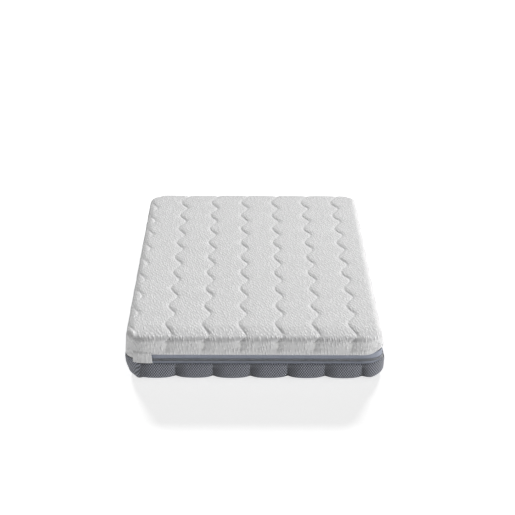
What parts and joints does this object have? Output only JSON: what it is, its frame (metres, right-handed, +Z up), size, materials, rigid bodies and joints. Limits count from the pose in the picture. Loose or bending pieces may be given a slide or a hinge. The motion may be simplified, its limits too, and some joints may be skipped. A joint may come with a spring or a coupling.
{
  "type": "memory foam mattress",
  "caption": "Single memory foam mattress: layered foam core in a zipped two-part quilted cover, white knit above and grey mesh below, with a garage flap over the zip's start.",
  "frame": {"origin": "on the floor, under the middle of the mattress", "axes": "+Z up; +Y along the length, away from the end where the zip starts; +X across the width, to the right as seen from that end"},
  "size_m": [0.9, 1.9, 0.16],
  "materials": {
    "white_knit": "pebbled stretch knit, matt",
    "white_thread": "polyester sewing thread",
    "grey_mesh": "open spacer mesh, matt",
    "grey_thread": "polyester sewing thread",
    "wadding": "polyester fibre wadding",
    "backing": "thin non-woven",
    "zip_tape": "woven twill tape",
    "zip_coil": "nylon coil",
    "zip_metal": "satin grey enamel",
    "support_foam": "open-cell polyurethane foam",
    "memory_foam": "fine-celled viscoelastic foam"
  },
  "bodies": {
    "lower_cover": {"base_mesh_panel": "grey_mesh", "base_wadding": "wadding", "base_backing": "backing", "base_quilting_thread": "grey_thread", "zip_tape_lower": "zip_tape", "zip_coil_lower": "zip_coil", "zip_stitching_lower": "grey_thread", "zip_end_tacks": "grey_thread"},
    "core": {"support_foam": "support_foam", "memory_foam": "memory_foam"},
    "upper_cover": {"top_knit_panel": "white_knit", "top_wadding": "wadding", "top_backing": "backing", "top_quilting_thread": "white_thread", "zip_tape_upper": "zip_tape", "zip_coil_upper": "zip_coil", "zip_stitching_upper": "grey_thread", "side_seam": "white_thread"},
    "garage_flap": {"garage_flap": "white_knit"},
    "zip_slider": {"zip_slider": "zip_metal"},
    "zip_pull": {"zip_pull": "zip_metal"}
  },
  "joints": [
    {"name": "core_lift", "type": "slide", "parent": "lower_cover", "child": "core", "axis": [0, 0, 1], "range_m": [0, 0.25]},
    {"name": "cover_open", "type": "hinge", "parent": "core", "child": "upper_cover", "pos_m": [-0.4496, 0, 0.068], "axis": [0, -1, 0], "range_deg": [0, 135]},
    {"name": "slider_travel", "type": "slide", "parent": "lower_cover", "child": "zip_slider", "axis": [1, 0, 0], "range_m": [0, 0.722], "deforming": ["garage_flap"]},
    {"name": "pull_swing", "type": "hinge", "parent": "zip_slider", "child": "zip_pull", "pos_m": [-0.361, -0.94575, 0.068], "axis": [0, 0, 1], "range_deg": [0, 180], "deforming": ["garage_flap"]},
    {"name": "flap_lift", "type": "hinge", "parent": "upper_cover", "child": "garage_flap", "pos_m": [-0.36, -0.94935, 0.08605], "axis": [-1, 0, 0], "range_deg": [0, 100]}
  ]
}
